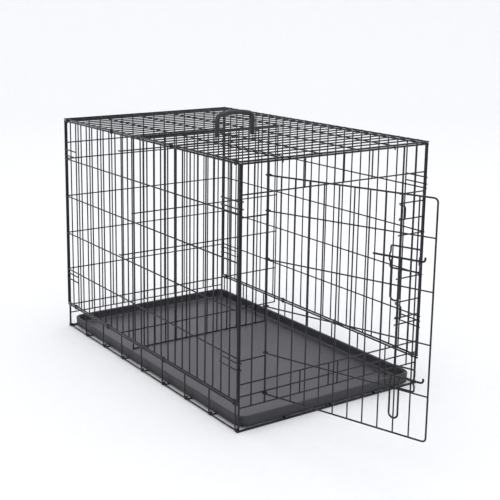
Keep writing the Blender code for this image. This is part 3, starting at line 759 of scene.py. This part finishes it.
def keeper_wires(work, height):
    """Rectangular loop whose short sides bridge over the slide rod."""
    steps = ((-0.0115, KEEPER_N), (-0.0050, BRIDGE_N), (0.0050, BRIDGE_N), (0.0115, KEEPER_N))
    path = [(KEEPER_NEAR, KEEPER_N, -KEEPER_HALF), (KEEPER_FAR, KEEPER_N, -KEEPER_HALF)]
    path += [(KEEPER_FAR, n, z) for z, n in steps]
    path += [(KEEPER_FAR, KEEPER_N, KEEPER_HALF), (KEEPER_NEAR, KEEPER_N, KEEPER_HALF)]
    path += [(KEEPER_NEAR, n, z) for z, n in steps[::-1]]
    work.wire([on_door(s, n, height + z) for s, n, z in path], KEEPER_R, KEEPER_BEND, True)


def strike_wires(work, height):
    """Staple beside the latch jamb that takes the rod's tip."""
    half = STRIKE_HALF
    path = [(-FRAME_R, half), (STRIKE_REACH, half), (STRIKE_REACH, -half), (-FRAME_R, -half)]
    work.wire([(STRIKE_X, -HALF_L - n, height + z) for n, z in path], STRIKE_R, STRIKE_BEND)


# ---------------------------------------------------------------- handle and tray

def handle_grip():
    """Round grip: straight legs, rounded shoulders and a slightly crowned bar."""
    work = WireWork()
    foot = GRID_R + CLIP_LOOP + GAP
    shoulder = HANDLE_RISE - HANDLE_ARCH - HANDLE_R
    crown = [(-HANDLE_HALF, foot), (-HANDLE_HALF, shoulder)]
    for k in range(1, 10):
        x = -HANDLE_HALF + k * HANDLE_HALF / 5
        crown.append((x, shoulder + HANDLE_ARCH * (1 - (x / HANDLE_HALF) ** 2)))
    crown += [(HANDLE_HALF, shoulder), (HANDLE_HALF, foot)]
    path = [(handle_foot.x + x, handle_foot.y, handle_foot.z + z) for x, z in crown]
    work.wire(path, HANDLE_R, HANDLE_CORNER)
    return work


def handle_clips():
    """Wire loops that tie the grip's feet to the cross wire."""
    work = WireWork()
    hole = GRID_R * math.sqrt(2) + GAP + CLIP_R
    for sign in (-1, 1):
        x = handle_foot.x + sign * (HANDLE_HALF + CLIP_OUT)
        corners = ((-hole, -hole), (hole, -hole), (hole, GRID_R + CLIP_LOOP - CLIP_R),
                   (-hole, GRID_R + CLIP_LOOP - CLIP_R))
        work.wire([(x, handle_foot.y + y, handle_foot.z + z) for y, z in corners], CLIP_R, CLIP_BEND, True)
    return work


def tray_loop(low, high, inset, corner, z, steps=9):
    """A rounded rectangle of the tray at one height."""
    r = corner - inset
    points = []
    for sx, sy, start in ((1, 1, 0), (-1, 1, 90), (-1, -1, 180), (1, -1, 270)):
        x = (high.x if sx > 0 else low.x) - sx * corner
        y = (high.y if sy > 0 else low.y) - sy * corner
        points += [(a, b, z) for a, b in arc((x, y), r, start, 90, steps)]
    return points


def tray_shell():
    """Tray moulded with a tapered wall, a rolled rim, a coved foot and a raised floor panel."""
    low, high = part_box("slide_out_pan")
    base, top = low.z, high.z
    profile = [(0.0034, base), (0.0022, base + 0.0003), (0.0014, base + 0.0011), (0.0010, base + 0.0026)]
    profile += [(0.0008, base + 0.0150), (0.0005, top - 0.0080), (0.0001, top - 0.0050)]
    profile += [(0.0030 - 0.0030 * math.cos(a), top - 0.0030 + 0.0030 * math.sin(a))
                for a in (math.radians(15 * k) for k in range(1, 7))]
    profile += [(0.0060 + 0.0030 * math.sin(a), top - 0.0030 + 0.0030 * math.cos(a))
                for a in (math.radians(15 * k) for k in range(6))]
    profile += [(0.0092, top - 0.0040), (0.0105, top - 0.0120), (0.0115, base + 0.0062),
                (0.0125, base + 0.0034), (0.0148, base + 0.0023), (0.0180, base + 0.0021)]
    bm = bmesh.new()
    rings = [[bm.verts.new(p) for p in tray_loop(low, high, inset, TRAY_CORNER, z)] for inset, z in profile]
    count = len(rings[0])
    for lower, upper in zip(rings, rings[1:]):
        for k in range(count):
            m = (k + 1) % count
            bm.faces.new((lower[k], lower[m], upper[m], upper[k]))
    bm.faces.new(rings[0][::-1])
    bm.faces.new(rings[-1])
    bmesh.ops.recalc_face_normals(bm, faces=bm.faces)
    for face in bm.faces:
        face.smooth = len(face.verts) == 4
    mesh = bpy.data.meshes.new("moulded_tray")
    bm.to_mesh(mesh)
    bm.free()
    # painted shade mark: 1 on the loops of the wall and rim, 0 on the floor panel, read by the finish to
    # darken the walls
    wall = [1.0 if k // count < TRAY_PAINTED_SHADE_LOOPS else 0.0 for k in range(len(mesh.vertices))]
    mesh.attributes.new("tray_wall_painted_shade", "FLOAT", "POINT").data.foreach_set("value", wall)
    return mesh


# ---------------------------------------------------------------- the crate

def build_crate():
    coat = powder_coat("black_powder_coat", (0.0060, 0.0060, 0.0085), 0.36)
    latch_coat = powder_coat("latch_powder_coat", (0.0055, 0.0055, 0.0075), 0.30)
    steel = blackened_steel()
    left_rings, left_names = ring_set("left_base_ring", BASE_RING_PITCH)
    right_rings, right_names = ring_set("right_base_ring", BASE_RING_PITCH)
    lift_rings, lift_names = ring_set("top_ring", RING_PITCH)
    drawn("base_wires", base_wires(), coat, "base", ["base_grid"])
    drawn("door_end_wires", door_end_wires(), coat, "base", ["front_panel"])
    drawn("back_end_wires", back_wires(), coat, "base", ["back_panel"])
    drawn("left_wall_wires", side_wall_wires(-1), coat, "left_wall", ["left_panel"])
    drawn("right_wall_wires", side_wall_wires(1), coat, "right_wall", ["right_panel"])
    drawn("top_wires", top_wires(), coat, "top", ["top_panel"])
    drawn("divider_wires", divider_wires(), coat, "divider", ["divider_panel"])
    drawn("door_wires", door_wires(), coat, "door", ["front_door"])
    drawn("left_hinge_rings", left_rings, steel, "base", left_names, 8)
    drawn("right_hinge_rings", right_rings, steel, "base", right_names, 8)
    drawn("top_hinge_rings", lift_rings, steel, "left_wall", lift_names, 8)
    keepers = WireWork()
    strikes = WireWork()
    for which, height in BOLT_HEIGHTS.items():
        keeper_wires(keepers, height)
        strike_wires(strikes, height)
        bolt = bolt_wires(height, BOLT_ADVANCES[which])
        drawn(which + "_slide_bolt", bolt, latch_coat, which + "_bolt", [which + "_bolt"], 16, 7)
    drawn("bolt_keepers", keepers, latch_coat, "door", ["upper_keeper", "lower_keeper"], 14)
    drawn("bolt_strikes", strikes, latch_coat, "base", ["upper_strike", "lower_strike"], 14)
    drawn("grip", handle_grip(), grip_plastic(), "handle", ["carry_handle"], 28, 10)
    drawn("grip_clips", handle_clips(), steel, "handle",
          ["handle_clip_left", "handle_clip_right"], 10)
    tray = tray_shell()
    tray.materials.append(moulded_tray_plastic())
    placed("moulded_tray", tray, "pan", ["slide_out_pan"])


# ---------------------------------------------------------------- studio

def studio_bowl():
    """Pale floor that sweeps up into a wall all round."""
    floor_radius, sweep, wall = 6.0, 1.6, 0.8
    profile = [(0.0, 0.0), (1.5, 0.0), (3.2, 0.0)]
    profile += [(floor_radius + sweep * math.sin(a), sweep - sweep * math.cos(a))
                for a in (math.radians(6 * k) for k in range(16))]
    profile.append((floor_radius + sweep, sweep + wall))
    bm = bmesh.new()
    verts = [bm.verts.new((x, 0.0, z)) for x, z in profile]
    edges = [bm.edges.new(pair) for pair in zip(verts, verts[1:])]
    bmesh.ops.spin(bm, geom=verts + edges, cent=(0, 0, 0), axis=(0, 0, 1), angle=2 * math.pi, steps=72)
    bmesh.ops.remove_doubles(bm, verts=bm.verts, dist=0.0005)
    bmesh.ops.recalc_face_normals(bm, faces=bm.faces)
    if sum(face.normal.z for face in bm.faces) < 0:
        bmesh.ops.reverse_faces(bm, faces=bm.faces)
    for face in bm.faces:
        face.smooth = True
    mesh = bpy.data.meshes.new("studio_bowl")
    bm.to_mesh(mesh)
    bm.free()
    mesh.materials.append(studio_paper())
    bowl = bpy.data.objects.new("studio_bowl", mesh)
    bpy.context.scene.collection.objects.link(bowl)


def soft_light(name, place, aim, size, watts, colour=(1.0, 1.0, 1.0)):
    light = bpy.data.lights.new(name, "AREA")
    light.shape = "RECTANGLE"
    light.size, light.size_y = size
    light.energy = watts
    light.color = colour
    obj = bpy.data.objects.new(name, light)
    obj.location = place
    obj.rotation_euler = (Vector(aim) - Vector(place)).to_track_quat("-Z", "Y").to_euler()
    bpy.context.scene.collection.objects.link(obj)


def studio_lights():
    world = bpy.data.worlds.new("studio_air")
    world.use_nodes = True
    air = world.node_tree.nodes["Background"]
    air.inputs["Color"].default_value = (0.96, 0.97, 1.0, 1.0)
    air.inputs["Strength"].default_value = 1.12
    bpy.context.scene.world = world
    bpy.context.scene.view_settings.view_transform = "Standard"
    middle = (0.0, 0.0, 0.3)
    soft_light("overhead", (0.2, 0.3, 3.6), middle, (3.4, 3.4), 9.0)
    soft_light("left_key", (-2.8, -1.6, 2.6), middle, (1.8, 1.8), 10.0)
    soft_light("right_fill", (2.9, -1.8, 1.8), middle, (1.6, 1.6), 4.0, (0.93, 0.95, 1.0))


def camera():
    """Eye level just above the crate, off its front left corner."""
    lens = bpy.data.cameras.new("studio_camera")
    lens.sensor_width = 36.0
    lens.lens = 70.75
    lens.shift_x = 0.1495
    lens.shift_y = -0.1166
    lens.clip_end = 100.0
    eye = bpy.data.objects.new("studio_camera", lens)
    eye.location = (-1.5578, -2.2263, 1.0196)
    eye.rotation_euler = (math.radians(90 - 11.342), 0.0, math.radians(-31.704))
    bpy.context.scene.collection.objects.link(eye)
    bpy.context.scene.camera = eye


build_crate()
studio_bowl()
studio_lights()
camera()
